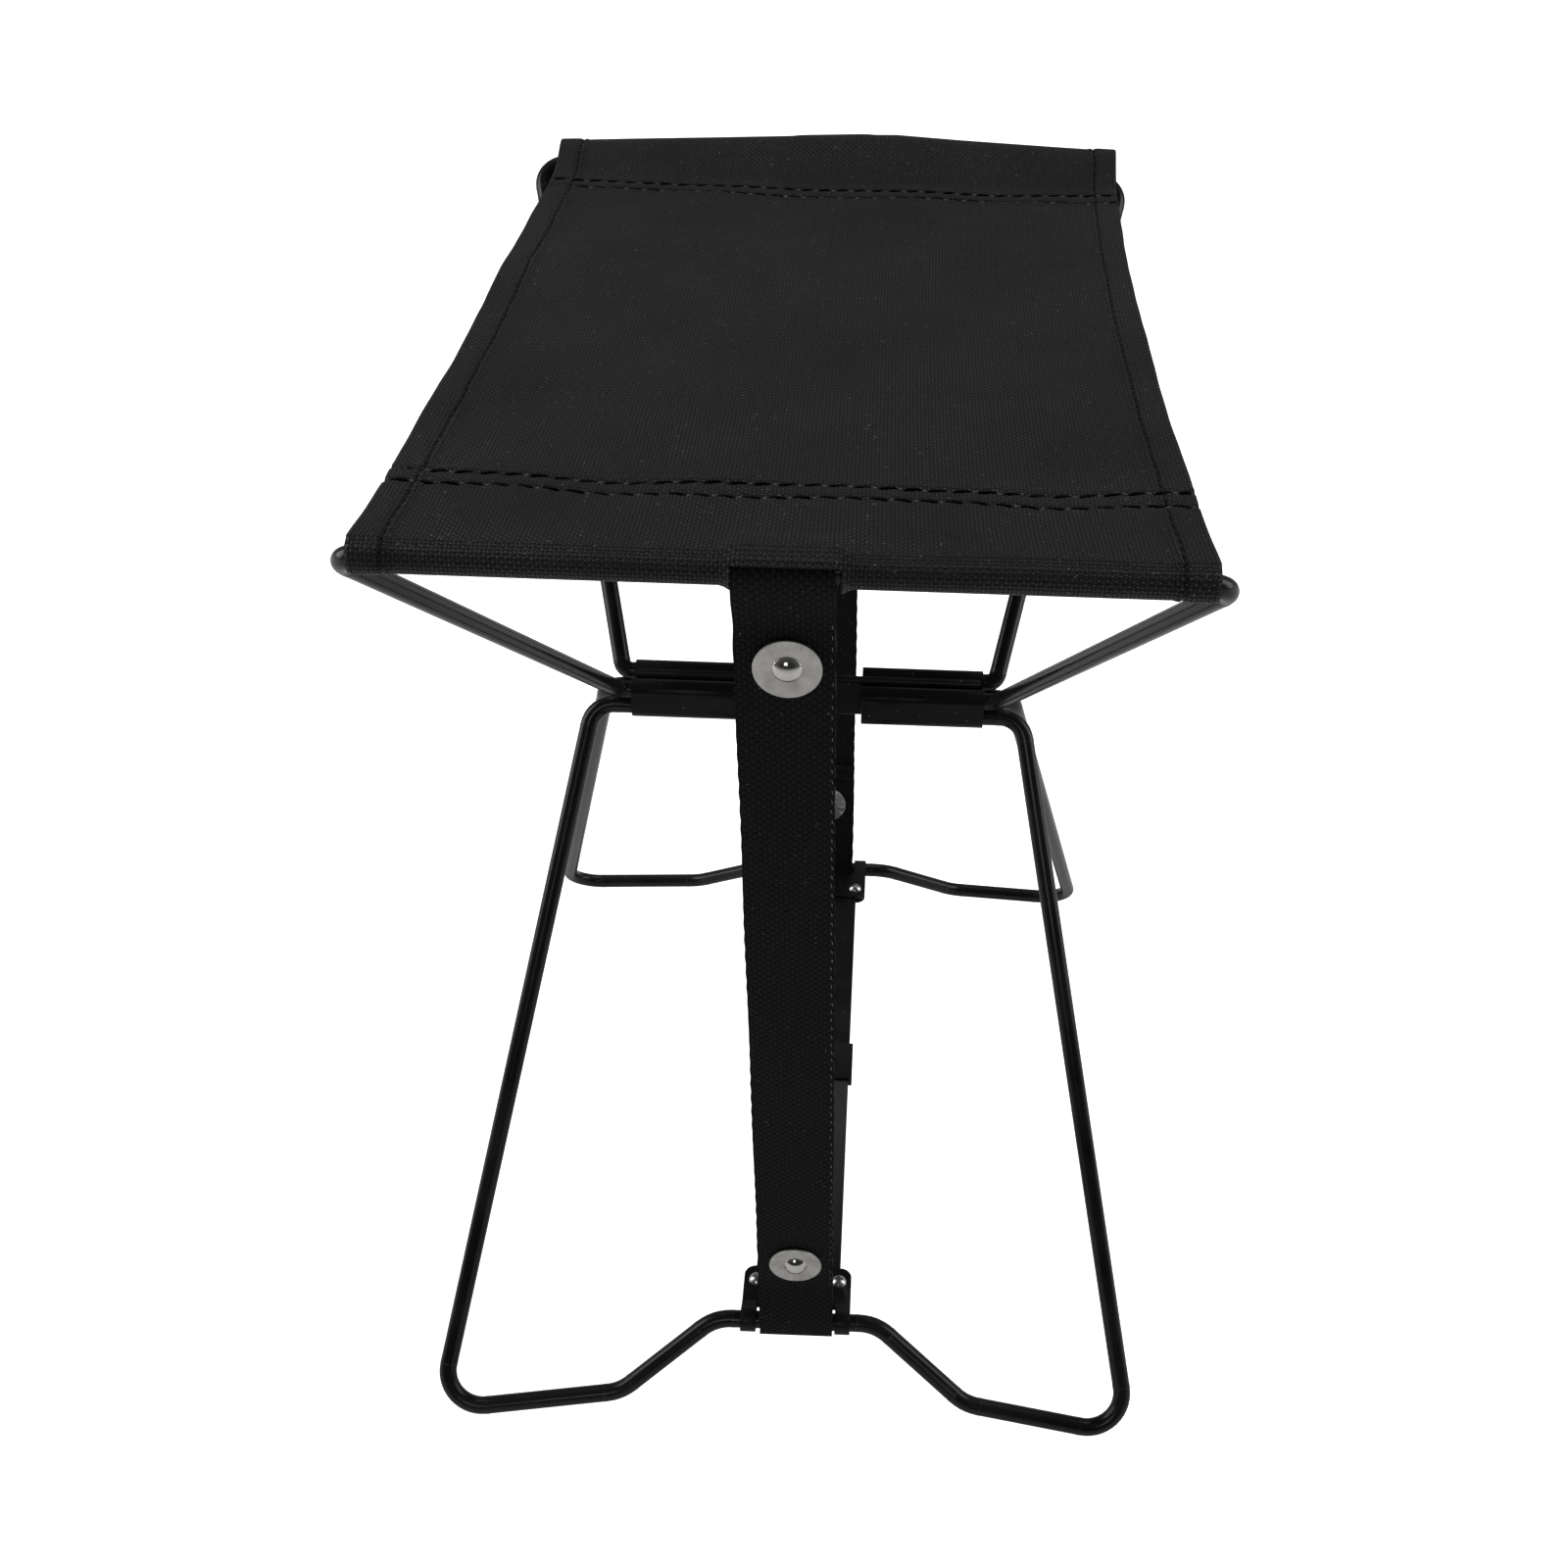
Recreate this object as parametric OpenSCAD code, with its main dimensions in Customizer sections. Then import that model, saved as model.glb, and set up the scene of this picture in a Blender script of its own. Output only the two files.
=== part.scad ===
// Folding camp stool: two seat loops and two leg loops of steel wire turn in
// four sleeves on a central hinge, with a fabric seat, two webbing straps and a
// floor brace holding it open.  X runs along the bars, Y from front to back and
// Z up; the origin is on the floor under the middle of the stool.

/* [Seat] */
// Outside width of the seat loops along their top bars
seat_w = 219; // [180:1:260]
// Distance between the two top bars, centre to centre
bar_gap = 303; // [260:1:340]
// Height of the top bars' centre lines
bar_z = 341; // [320:1:380]
// Width of the seat fabric along the bars
fabric_w = 208; // [170:1:250]
// How far the side edges of the fabric curve in at the middle
side_curve = 4; // [0:0.5:8]
// Thickness of the seat fabric and its hems
fabric_t = 1.4; // [0.8:0.1:2]
// Distance from a bar's centre to the seam of its fabric sleeve
seam_y = 32; // [20:1:45]

/* [Legs] */
// Outside width of the leg loops at the floor
foot_w = 241; // [200:1:280]
// Distance between the feet, outside to outside
foot_gap = 297; // [260:1:340]
// Height of the raised middle of each foot bar
notch_z = 30.4; // [20:0.2:40]
// Sideways offset of the raised middle, the brackets and the brace
brace_x = 3; // [-6:0.5:6]

/* [Wire] */
// Diameter of the steel wire
wire_d = 6; // [5:0.5:7]
// Bend radius of the wire at the loops' outer corners
corner_r = 8; // [6:0.5:9]
// Bend radius of the wire at the feet
foot_r = 12; // [8:1:16]

/* [Hinge] */
// Height of the top edge of the hinge sleeves
hinge_top = 215.3; // [205:0.5:225]
// Length of the hinge over its sleeves
hinge_w = 121; // [110:1:130]
// Length of each sleeve
sleeve_w = 42; // [34:1:48]
// Wall thickness of a sleeve
sleeve_wall = 0.95; // [0.8:0.05:1.5]
// Thickness of each of the two middle plates
plate_t = 2.1; // [1.5:0.1:3]

/* [Straps] */
// Width of the strap webbing
strap_w = 25; // [20:1:30]
// Thickness of the strap webbing
strap_t = 1.5; // [1:0.1:2]
// Distance of the upper rivet below the top bar
upper_rivet = 27.5; // [22:0.5:40]
// Distance of the lower rivet above the foot bar
lower_rivet = 36; // [24:0.5:45]
// Distance from a top bar to the place where its strap folds
strap_fold = 151; // [120:1:170]
// Diameter of the washers
washer_d = 17.5; // [14:0.5:20]

/* [Floor brace] */
// Width of the brace plates
brace_w = 30; // [24:1:34]
// Thickness of the brace plates
brace_t = 1.5; // [1:0.1:2]
// Width of the brackets on the foot bars
bracket_w = 38; // [34:1:44]
// How far the brackets reach in from the foot bars
bracket_reach = 22; // [18:1:26]
// Spacing of the holes in the rear plate
hole_pitch = 15.2; // [12:0.1:18]
// Diameter of those holes
hole_d = 8; // [5:0.5:10]

/* [Hidden] */
$fn = 48;
slack = 0.05;              // radial clearance of a wire end in its sleeve
fit_gap = 0.35;            // gap between parts that move apart
wire_r = wire_d / 2;
ring_w = 1.2;              // width and height of the rings beside each bend
ring_h = 0.1;
seat_x_in = hinge_w / 2 + 4.5;
near_leg_x_in = hinge_w / 2 + 13.5;
far_leg_x_in = hinge_w / 2 + 10.5;
bar_y = bar_gap / 2;

// Hinge: each sleeve holds two wire ends, one above the other.
cavity_w = wire_d + 2 * slack;
pivot_pitch = wire_d + 2 * slack;
sleeve_t = cavity_w + 2 * sleeve_wall;
sleeve_h = pivot_pitch + cavity_w + 2 * sleeve_wall;
hinge_z = hinge_top - sleeve_h / 2;
pivot_y = plate_t + sleeve_t / 2;
upper_z = hinge_z + pivot_pitch / 2;
lower_z = hinge_z - pivot_pitch / 2;
stub_in = hinge_w / 2 - sleeve_w + 4;   // inner end of the wire in its sleeve

// Each loop turns about an axis along X, given as [y, z].
near_seat_axis = [-pivot_y, upper_z];
near_leg_axis = [-pivot_y, lower_z];
far_seat_axis = [pivot_y, upper_z];
far_leg_axis = [pivot_y, lower_z];

// Where each loop ends, also as [y, z].
near_bar = [-bar_y, bar_z];
far_bar = [bar_y, bar_z];
near_foot = [wire_r - foot_gap / 2, wire_r];
far_foot = [foot_gap / 2 - wire_r, wire_r];

function slope(a, b) = atan2(b[1] - a[1], b[0] - a[0]);
function reach(a, b) = norm(b - a);
function along(a, b, s) = a + (b - a) * s / norm(b - a);

// The raised middle of a foot bar, as [y, z].
function raised(axis, foot) =
    along(axis, foot, (axis[1] - notch_z) / (axis[1] - foot[1]) * reach(axis, foot));
near_rest = raised(near_leg_axis, near_foot);
far_rest = raised(far_leg_axis, far_foot);

// Places along the strap, which runs from a top bar to the bar below it.
strap_top_x = 0.8;
strap_bottom_x = brace_x + 0.4;
loop_r = wire_r + fit_gap + strap_t;
back_end = 20;                          // how far the inner layer passes a rivet

// Rivets and screws
washer_t = 1;
rivet_d = 4;
rivet_head_d = 8;
rivet_head_h = 2.2;
screw_x = 14.5;
screw_y = 16;
screw_d = 3;
screw_head_d = 5.8;
nut_d = 6.2;

// Floor brace
bracket_t = 1.1;
clip_len = 20;
clip_wall = 1;
brace_end = -5.5;                       // front end of the rear plate
hole_x = brace_x + 3.5;
stud_y = 0.4;
stud_d = 4.4;

// ---- Wire loops -------------------------------------------------------------

function turn(u, v) = atan2(u[0] * v[1] - u[1] * v[0], u * v);
function unit(v) = v / norm(v);
function tangent_len(p, i, r) = i == 0 || i == len(p) - 1 ? 0
    : r[i] * abs(tan(turn(unit(p[i] - p[i - 1]), unit(p[i + 1] - p[i])) / 2));

// A round wire through the points p, bent to the radius r[i] at each of them.
// A faint ring, left by the bending tool, stands before and after every bend.
module wire(p, r) {
    for (i = [0 : len(p) - 2]) {
        u = unit(p[i + 1] - p[i]);
        a = p[i] + u * tangent_len(p, i, r);
        b = p[i + 1] - u * tangent_len(p, i + 1, r);
        last = norm(b - a);
        head = i > 0 ? ring_w : 0;
        tail = i < len(p) - 2 ? ring_w : 0;
        translate([a[0], a[1], 0]) rotate([0, 0, atan2(u[1], u[0])]) rotate([0, 90, 0]) {
            translate([0, 0, 0.7 * head])
                cylinder(d = wire_d, h = last - 0.7 * (head + tail));
            if (head > 0) cylinder(d = wire_d + ring_h, h = head);
            if (tail > 0) translate([0, 0, last - tail])
                cylinder(d = wire_d + ring_h, h = tail);
        }
    }
    for (i = [1 : len(p) - 2]) bend(p[i - 1], p[i], p[i + 1], r[i]);
}

// The centre of the bend at a corner between the points before and after it.
function bend_centre(before, corner, after, r) =
    let (u = unit(corner - before), t = turn(u, unit(after - corner)))
    corner - u * r * abs(tan(t / 2)) + [-u[1], u[0]] * r * sign(t);

// The bend itself, run on into the rings at both of its ends.
module bend(before, corner, after, r) {
    u = unit(corner - before);
    t = turn(u, unit(after - corner));
    centre = bend_centre(before, corner, after, r);
    start = atan2(u[1], u[0]) - sign(t) * 90 - (t < 0 ? abs(t) : 0);
    more = 0.35 * ring_w / r * 180 / PI;
    translate([centre[0], centre[1], 0]) rotate([0, 0, start - more])
        rotate_extrude(angle = abs(t) + 2 * more) translate([r, 0]) circle(d = wire_d);
}

// Puts a flat loop, drawn with its second axis away from the hinge, in its plane.
module in_plane(axis, end) {
    translate([0, axis[0], axis[1]]) rotate([slope(axis, end), 0, 0]) children();
}

module seat_loop(axis, bar) {
    s = reach(axis, bar);
    straight_x = seat_w / 2 - wire_r;
    x = 2 * straight_x - corner_r
        - bend_centre([seat_x_in, 0], [straight_x, s], [0, s], corner_r)[0];
    in_plane(axis, bar)
        wire([[-stub_in, 0], [-seat_x_in, 0], [-x, s], [x, s], [seat_x_in, 0], [stub_in, 0]],
             [0, 4, corner_r, corner_r, 4, 0]);
}

// The wire stands on its two corners; the rest of the foot bar is off the floor.
module leg_loop(axis, foot, x_in) {
    rise = 9;
    want = [foot_w / 2 - wire_r, reach(axis, foot)];
    after = [brace_x + 60, want[1] - rise];
    centre = bend_centre([x_in, 0], want, after, foot_r);
    x = 2 * want[0] - centre[0] - foot_r;
    s = 2 * want[1] - centre[1] - foot_r;
    top = reach(axis, raised(axis, foot));
    in_plane(axis, foot)
        wire([[-stub_in, 0], [-x_in, 0], [-x, s], [brace_x - 60, s - rise],
              [brace_x - 28, top], [brace_x + 28, top], [brace_x + 60, s - rise], [x, s],
              [x_in, 0], [stub_in, 0]],
             [0, 9, foot_r, 16, 16, 16, 16, foot_r, 9, 0]);
}

module near_seat_loop() { color("#151515") seat_loop(near_seat_axis, near_bar); }
module far_seat_loop() { color("#151515") seat_loop(far_seat_axis, far_bar); }
module near_leg_loop() { color("#151515") leg_loop(near_leg_axis, near_foot, near_leg_x_in); }
module far_leg_loop() { color("#151515") leg_loop(far_leg_axis, far_foot, far_leg_x_in); }

// ---- Hinge ------------------------------------------------------------------

// Extrudes a shape drawn in the Y-Z plane along X, from x over a length w.
module across(x, w) {
    translate([x, 0, 0]) rotate([90, 0, 90]) linear_extrude(w) children();
}

module slot_shape(width, height) {
    square([width, height - width], center = true);
    for (end = [-1, 1]) translate([0, end * (height - width) / 2]) circle(d = width);
}

module sleeve(y, x) {
    across(x, sleeve_w) translate([y, hinge_z]) difference() {
        slot_shape(sleeve_t, sleeve_h);
        slot_shape(cavity_w, pivot_pitch + cavity_w);
    }
}

module hinge_plate(side) {
    across(1 - hinge_w / 2, hinge_w - 2) translate([side * plate_t / 2, hinge_z])
        slot_shape(plate_t, sleeve_h);
}

module near_hinge_plate() { color("#1b1b1c") hinge_plate(-1); }
module far_hinge_plate() { color("#1b1b1c") hinge_plate(1); }
module near_left_sleeve() { color("#1b1b1c") sleeve(-pivot_y, -hinge_w / 2); }
module near_right_sleeve() { color("#1b1b1c") sleeve(-pivot_y, hinge_w / 2 - sleeve_w); }
module far_left_sleeve() { color("#1b1b1c") sleeve(pivot_y, -hinge_w / 2); }
module far_right_sleeve() { color("#1b1b1c") sleeve(pivot_y, hinge_w / 2 - sleeve_w); }

// ---- Seat fabric ------------------------------------------------------------

seat_top = bar_z + wire_r + slack + fabric_t;

// Half width of the fabric at the distance y from the middle of the seat.
function half_w(y) = fabric_w / 2 - side_curve * (1 - pow(y / bar_y, 2));

module seat_panel() {
    y = bar_y - seam_y;
    edge = [for (i = [0 : 16]) y * (i / 8 - 1)];
    color("#161617") translate([0, 0, seat_top - fabric_t]) linear_extrude(fabric_t)
        polygon(concat([for (v = edge) [half_w(v), v]],
                       [for (i = [16 : -1 : 0]) [-half_w(edge[i]), edge[i]]]));
}

// The sleeve that the bar runs in, open in the middle where the strap passes,
// and the plain fabric over the bends at the ends of the bar.
module seat_hem(side) {
    x_out = seat_w / 2 - wire_r;
    flare = atan2(x_out - seat_x_in, reach(near_seat_axis, near_bar));
    straight = x_out - corner_r * tan(45 + flare / 2) - 1;
    cut = strap_w / 2 + 1.5;
    r = wire_r + slack;
    seam = bar_y - seam_y + fit_gap;
    for (span = [[-straight, strap_top_x - cut], [strap_top_x + cut, straight]])
        across(span[0], span[1] - span[0]) scale([side, 1]) difference() {
            union() {
                translate([bar_y, bar_z]) circle(r = r + fabric_t);
                polygon([[bar_y, seat_top], [seam, seat_top], [seam, seat_top - fabric_t],
                         [bar_y, bar_z - r - fabric_t]]);
            }
            translate([bar_y, bar_z]) circle(r = r);
        }
    for (span = [[-fabric_w / 2, 1 - straight], [straight - 1, fabric_w / 2]])
        across(span[0], span[1] - span[0]) scale([side, 1])
            translate([seam, seat_top - fabric_t]) square([bar_y - seam, fabric_t]);
}

module near_seat_hem() { color("#161617") seat_hem(-1); }
module far_seat_hem() { color("#161617") seat_hem(1); }

// ---- Straps -----------------------------------------------------------------

// Puts parts on a strap: X across, Y along it from the top bar, Z outwards.
module on_strap(bar, rest) {
    skew = atan2(strap_bottom_x - strap_top_x, reach(bar, rest));
    near = bar[0] < 0;
    translate([strap_top_x, bar[0], bar[1]]) rotate([slope(bar, rest), 0, 0])
        rotate([0, near ? 180 : 0, 0]) rotate([0, 0, near ? skew : -skew]) children();
}

// One end of a strap: its loop round a bar and the two layers, which meet before
// the rivet.  The outer layer goes on to the fold.
module strap_part(rivet, fold) {
    meet = rivet - washer_d / 2 - 0.5;
    inner_r = loop_r - strap_t;
    outer = [[0, loop_r], [meet, strap_t], [fold, strap_t], [fold, 0], [meet, 0], [0, inner_r]];
    inner = [[0, -inner_r], [meet, 0], [rivet + back_end, 0], [rivet + back_end, -strap_t],
             [meet, -strap_t], [0, -loop_r]];
    difference() {
        union() {
            strap_layer() difference() {
                circle(r = loop_r);
                circle(r = inner_r);
                translate([0.4, -loop_r]) square([loop_r, 2 * loop_r]);
            }
            strap_layer() polygon(outer);
            strap_layer() polygon(inner);
        }
        translate([0, rivet, -loop_r]) cylinder(d = rivet_d, h = 2 * loop_r);
    }
}

module strap_layer() {
    translate([-strap_w / 2, 0, 0]) rotate([90, 0, 90]) linear_extrude(strap_w) children();
}

module strap_upper(bar, rest) {
    on_strap(bar, rest) strap_part(upper_rivet, strap_fold - fit_gap / 2);
}

module strap_lower(bar, rest) {
    length = reach(bar, rest);
    on_strap(bar, rest) translate([0, length, 0]) rotate([0, 0, 180])
        strap_part(lower_rivet, length - strap_fold - fit_gap / 2);
}

module washers() {
    for (z = [strap_t, -strap_t - washer_t]) translate([0, 0, z]) difference() {
        cylinder(d = washer_d, h = washer_t);
        translate([0, 0, -1]) cylinder(d = rivet_d, h = washer_t + 2);
    }
}

module rivet() {
    head_z = strap_t + washer_t;
    translate([0, 0, -head_z]) cylinder(d = rivet_d, h = 2 * head_z);
    translate([0, 0, head_z]) dome(rivet_head_d, rivet_head_h);
    translate([0, 0, -head_z - 0.8]) cylinder(d = rivet_head_d - 1, h = 0.8);
}

// A domed cap of diameter d and height h, flat underneath.
module dome(d, h) {
    r = (d * d / 4 + h * h) / (2 * h);
    rotate_extrude() intersection() {
        translate([0, h - r]) circle(r = r);
        square([d / 2, h]);
    }
}

module at_upper(bar, rest) {
    on_strap(bar, rest) translate([0, upper_rivet, 0]) children();
}

module at_lower(bar, rest) {
    on_strap(bar, rest) translate([0, reach(bar, rest) - lower_rivet, 0]) children();
}

module near_strap_upper() { color("#111112") strap_upper(near_bar, near_rest); }
module near_strap_lower() { color("#111112") strap_lower(near_bar, near_rest); }
module far_strap_upper() { color("#111112") strap_upper(far_bar, far_rest); }
module far_strap_lower() { color("#111112") strap_lower(far_bar, far_rest); }
module near_upper_washers() { color("#c9c9c6") at_upper(near_bar, near_rest) washers(); }
module near_lower_washers() { color("#c9c9c6") at_lower(near_bar, near_rest) washers(); }
module far_upper_washers() { color("#c9c9c6") at_upper(far_bar, far_rest) washers(); }
module far_lower_washers() { color("#c9c9c6") at_lower(far_bar, far_rest) washers(); }
module near_upper_rivet() { color("#d5d5d2") at_upper(near_bar, near_rest) rivet(); }
module near_lower_rivet() { color("#d5d5d2") at_lower(near_bar, near_rest) rivet(); }
module far_upper_rivet() { color("#d5d5d2") at_upper(far_bar, far_rest) rivet(); }
module far_lower_rivet() { color("#d5d5d2") at_lower(far_bar, far_rest) rivet(); }

// ---- Floor brace ------------------------------------------------------------

// Puts parts at a foot bar, with the second axis pointing to the other bar.
module at_foot(rest) {
    translate([brace_x, rest[0], notch_z]) rotate([0, 0, rest[0] < 0 ? 0 : 180]) children();
}

// Sheet metal wrapped round the bar and pinched on the brace plate, with a
// window in the middle that lets the strap round the bar.
module bracket() {
    r = wire_r + slack;
    half = brace_t / 2;
    pinch = 6.5;
    window = strap_w + 2.4;
    difference() {
        union() {
            across(-bracket_w / 2, bracket_w) difference() {
                circle(r = r + bracket_t);
                circle(r = r);
                translate([2, -1.5 * r]) square([2 * r, 3 * r]);
            }
            for (side = [-1, 1]) scale([1, 1, side]) across(-bracket_w / 2, bracket_w)
                polygon([[1.4, r + 0.9], [pinch, half + bracket_t],
                         [bracket_reach, half + bracket_t], [bracket_reach, half],
                         [pinch - 0.4, half], [1.2, r - 0.2]]);
        }
        translate([-window / 2, -2 * r, -2 * r]) cube([window, 2 * r + pinch, 4 * r]);
        for (side = [-1, 1]) translate([side * screw_x, screw_y, -2 * r])
            cylinder(d = screw_d, h = 4 * r);
        for (side = [-1, 1]) translate([side * bracket_w / 2, bracket_reach, 0]) corner_cut(4);
    }
}

// Takes the sharp corner off a plate, leaving a round one of radius r.
module corner_cut(r) {
    linear_extrude(20, center = true) difference() {
        square(2 * r, center = true);
        for (side = [-1, 1]) translate([side * r, -r]) circle(r = r);
    }
}

// A brace plate from the bracket to the distance end, with wide ends for the
// screws and the holes given as [x, y, diameter].
module brace_plate(end, holes) {
    wide = bracket_w - 2;
    translate([0, 0, -brace_t / 2]) linear_extrude(brace_t) difference() {
        union() {
            translate([-wide / 2, 7]) square([wide, bracket_reach - 8]);
            translate([-brace_w / 2, 7]) square([brace_w, end - 7]);
        }
        for (side = [-1, 1]) translate([side * screw_x, screw_y]) circle(d = screw_d);
        for (h = holes) translate([h[0], h[1]]) circle(d = h[2]);
    }
}

module screws() {
    for (side = [-1, 1]) translate([side * screw_x, screw_y, 0]) {
        top = brace_t / 2 + bracket_t;
        translate([0, 0, -top - 2.6]) cylinder(d = screw_d, h = 2 * top + 2.6);
        translate([0, 0, top]) difference() {
            dome(screw_head_d, 1.9);
            for (a = [0, 90]) rotate([0, 0, a]) translate([-1.4, -0.35, 1]) cube([2.8, 0.7, 2]);
        }
    }
}

module nuts() {
    for (side = [-1, 1]) translate([side * screw_x, screw_y, -brace_t / 2 - bracket_t - 2.4])
        difference() {
            cylinder(d = nut_d, h = 2.4, $fn = 6);
            translate([0, 0, -1]) cylinder(d = screw_d, h = 5);
        }
}

near_end = -near_rest[0] + brace_end - 1;
far_end = far_rest[0] - brace_end;

module near_bracket() { color("#19191a") at_foot(near_rest) bracket(); }
module far_bracket() { color("#19191a") at_foot(far_rest) bracket(); }

module near_brace_plate() {
    color("#1c1c1d") at_foot(near_rest) brace_plate(near_end, []);
}

// The rear plate has a row of holes; the last one holds the stud of the clip.
module far_brace_plate() {
    holes = [for (i = [0 : 3]) [brace_x - hole_x, far_rest[0] - stud_y - i * hole_pitch, hole_d]];
    color("#1c1c1d") at_foot(far_rest) brace_plate(far_end, holes);
}

// A flat loop fixed on the end of the front plate; the rear plate slides in it.
module brace_clip() {
    free_w = brace_w + 2 * fit_gap;
    free_t = brace_t + 2 * fit_gap;
    grip = brace_end - 1;
    color("#1c1c1d") translate([brace_x, 0, notch_z]) difference() {
        translate([-free_w / 2 - clip_wall, -clip_len / 2, -free_t / 2 - clip_wall])
            cube([free_w + 2 * clip_wall, clip_len, free_t + 2 * clip_wall]);
        translate([-free_w / 2, grip, -free_t / 2]) cube([free_w, clip_len, free_t]);
        translate([-brace_w / 2, -clip_len, -brace_t / 2]) cube([brace_w, 2 * clip_len, brace_t]);
        translate([hole_x - brace_x, stud_y, -10]) cylinder(d = stud_d, h = 20);
    }
}

module brace_stud() {
    outside = brace_t / 2 + fit_gap + clip_wall;
    color("#c9c9c6") translate([hole_x, stud_y, notch_z]) {
        translate([0, 0, -outside]) cylinder(d = stud_d, h = 2 * outside);
        translate([0, 0, outside]) dome(7, 1.6);
        translate([0, 0, -outside - 0.8]) cylinder(d = 6.4, h = 0.8);
    }
}

module near_bracket_screws() { color("#c9c9c6") at_foot(near_rest) screws(); }
module far_bracket_screws() { color("#c9c9c6") at_foot(far_rest) screws(); }
module near_bracket_nuts() { color("#bdbdba") at_foot(near_rest) nuts(); }
module far_bracket_nuts() { color("#bdbdba") at_foot(far_rest) nuts(); }

near_hinge_plate();
far_hinge_plate();
near_left_sleeve();
near_right_sleeve();
far_left_sleeve();
far_right_sleeve();
near_seat_loop();
far_seat_loop();
near_leg_loop();
far_leg_loop();
seat_panel();
near_seat_hem();
far_seat_hem();
near_strap_upper();
near_strap_lower();
far_strap_upper();
far_strap_lower();
near_upper_washers();
near_lower_washers();
far_upper_washers();
far_lower_washers();
near_upper_rivet();
near_lower_rivet();
far_upper_rivet();
far_lower_rivet();
near_bracket();
far_bracket();
near_brace_plate();
far_brace_plate();
brace_clip();
brace_stud();
near_bracket_screws();
far_bracket_screws();
near_bracket_nuts();
far_bracket_nuts();
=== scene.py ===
"""Camp stool: fabric seat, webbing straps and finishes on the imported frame.

Sizes are in metres, or in mm and multiplied by MM.
"""

import math

import bpy
import numpy as np
from mathutils import Matrix, Vector


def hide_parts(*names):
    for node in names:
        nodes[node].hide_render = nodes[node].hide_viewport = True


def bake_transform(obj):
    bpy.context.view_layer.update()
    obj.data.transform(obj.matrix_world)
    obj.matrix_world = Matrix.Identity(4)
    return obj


MM = 0.001
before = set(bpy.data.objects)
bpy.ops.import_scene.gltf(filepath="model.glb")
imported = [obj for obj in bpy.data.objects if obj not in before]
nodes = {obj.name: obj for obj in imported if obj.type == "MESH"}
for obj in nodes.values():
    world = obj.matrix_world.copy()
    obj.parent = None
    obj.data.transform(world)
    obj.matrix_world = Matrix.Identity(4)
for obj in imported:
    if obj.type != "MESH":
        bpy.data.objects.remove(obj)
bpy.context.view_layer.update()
rng = np.random.default_rng(7)
NAMES = {-1: "near", 1: "far"}  # the two sides of the stool, by the sign of Y


def add(name, data):
    """A new object in the scene."""
    obj = bpy.data.objects.new(name, data)
    bpy.context.scene.collection.objects.link(obj)
    return obj


# ---- Materials --------------------------------------------------------------


class Shader:
    """A small helper for building one node material."""

    def __init__(self, name):
        self.mat = bpy.data.materials.new(name)
        self.mat.use_nodes = True
        self.tree = self.mat.node_tree
        self.bsdf = self.tree.nodes["Principled BSDF"]

    def set(self, **values):
        for name, value in values.items():
            self.bsdf.inputs[name.replace("_", " ")].default_value = value

    def node(self, kind, **props):
        n = self.tree.nodes.new(kind)
        for k, v in props.items():
            setattr(n, k, v)
        return n

    def link(self, a, b):
        self.tree.links.new(a, b)

    def put(self, socket, value):
        if isinstance(value, (int, float)):
            socket.default_value = value
        else:
            self.link(value, socket)

    def math(self, op, a, b=0.0, c=0.0):
        n = self.node("ShaderNodeMath", operation=op)
        for i, v in enumerate((a, b, c)):
            self.put(n.inputs[i], v)
        return n.outputs[0]

    def noise(self, coord, scale, detail=3.0, rough=0.5):
        n = self.node("ShaderNodeTexNoise")
        self.link(coord, n.inputs["Vector"])
        n.inputs["Scale"].default_value = scale
        n.inputs["Detail"].default_value = detail
        n.inputs["Roughness"].default_value = rough
        return n.outputs["Fac"]

    def span(self, value, low, high, to_low, to_high):
        n = self.node("ShaderNodeMapRange")
        n.clamp = True
        self.put(n.inputs["Value"], value)
        ends = {"From Min": low, "From Max": high, "To Min": to_low, "To Max": to_high}
        for name, v in ends.items():
            self.put(n.inputs[name], v)
        return n.outputs["Result"]

    def mix(self, fac, a, b):
        n = self.node("ShaderNodeMix", data_type="RGBA")
        self.put(n.inputs[0], fac)
        for i, v in ((6, a), (7, b)):
            if isinstance(v, (tuple, list)):
                n.inputs[i].default_value = (*v, 1.0)
            else:
                self.link(v, n.inputs[i])
        return n.outputs[2]

    def bump(self, height, distance, strength=1.0):
        n = self.node("ShaderNodeBump")
        n.inputs["Distance"].default_value = distance
        n.inputs["Strength"].default_value = strength
        self.link(height, n.inputs["Height"])
        return n.outputs["Normal"]

    def uv(self):
        """Places across and along the cloth, in metres."""
        sep = self.node("ShaderNodeSeparateXYZ")
        tex = self.node("ShaderNodeUVMap", uv_map="cloth")
        self.link(tex.outputs["UV"], sep.inputs[0])
        return sep.outputs[0], sep.outputs[1]

    def place(self):
        """Place on the object, in metres."""
        return self.node("ShaderNodeTexCoord").outputs["Object"]


# painted highlight: the pale grey that sharp edges are lightened to
EDGE_HIGHLIGHT = (0.10, 0.10, 0.105)
DUST = (0.30, 0.30, 0.30)


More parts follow.
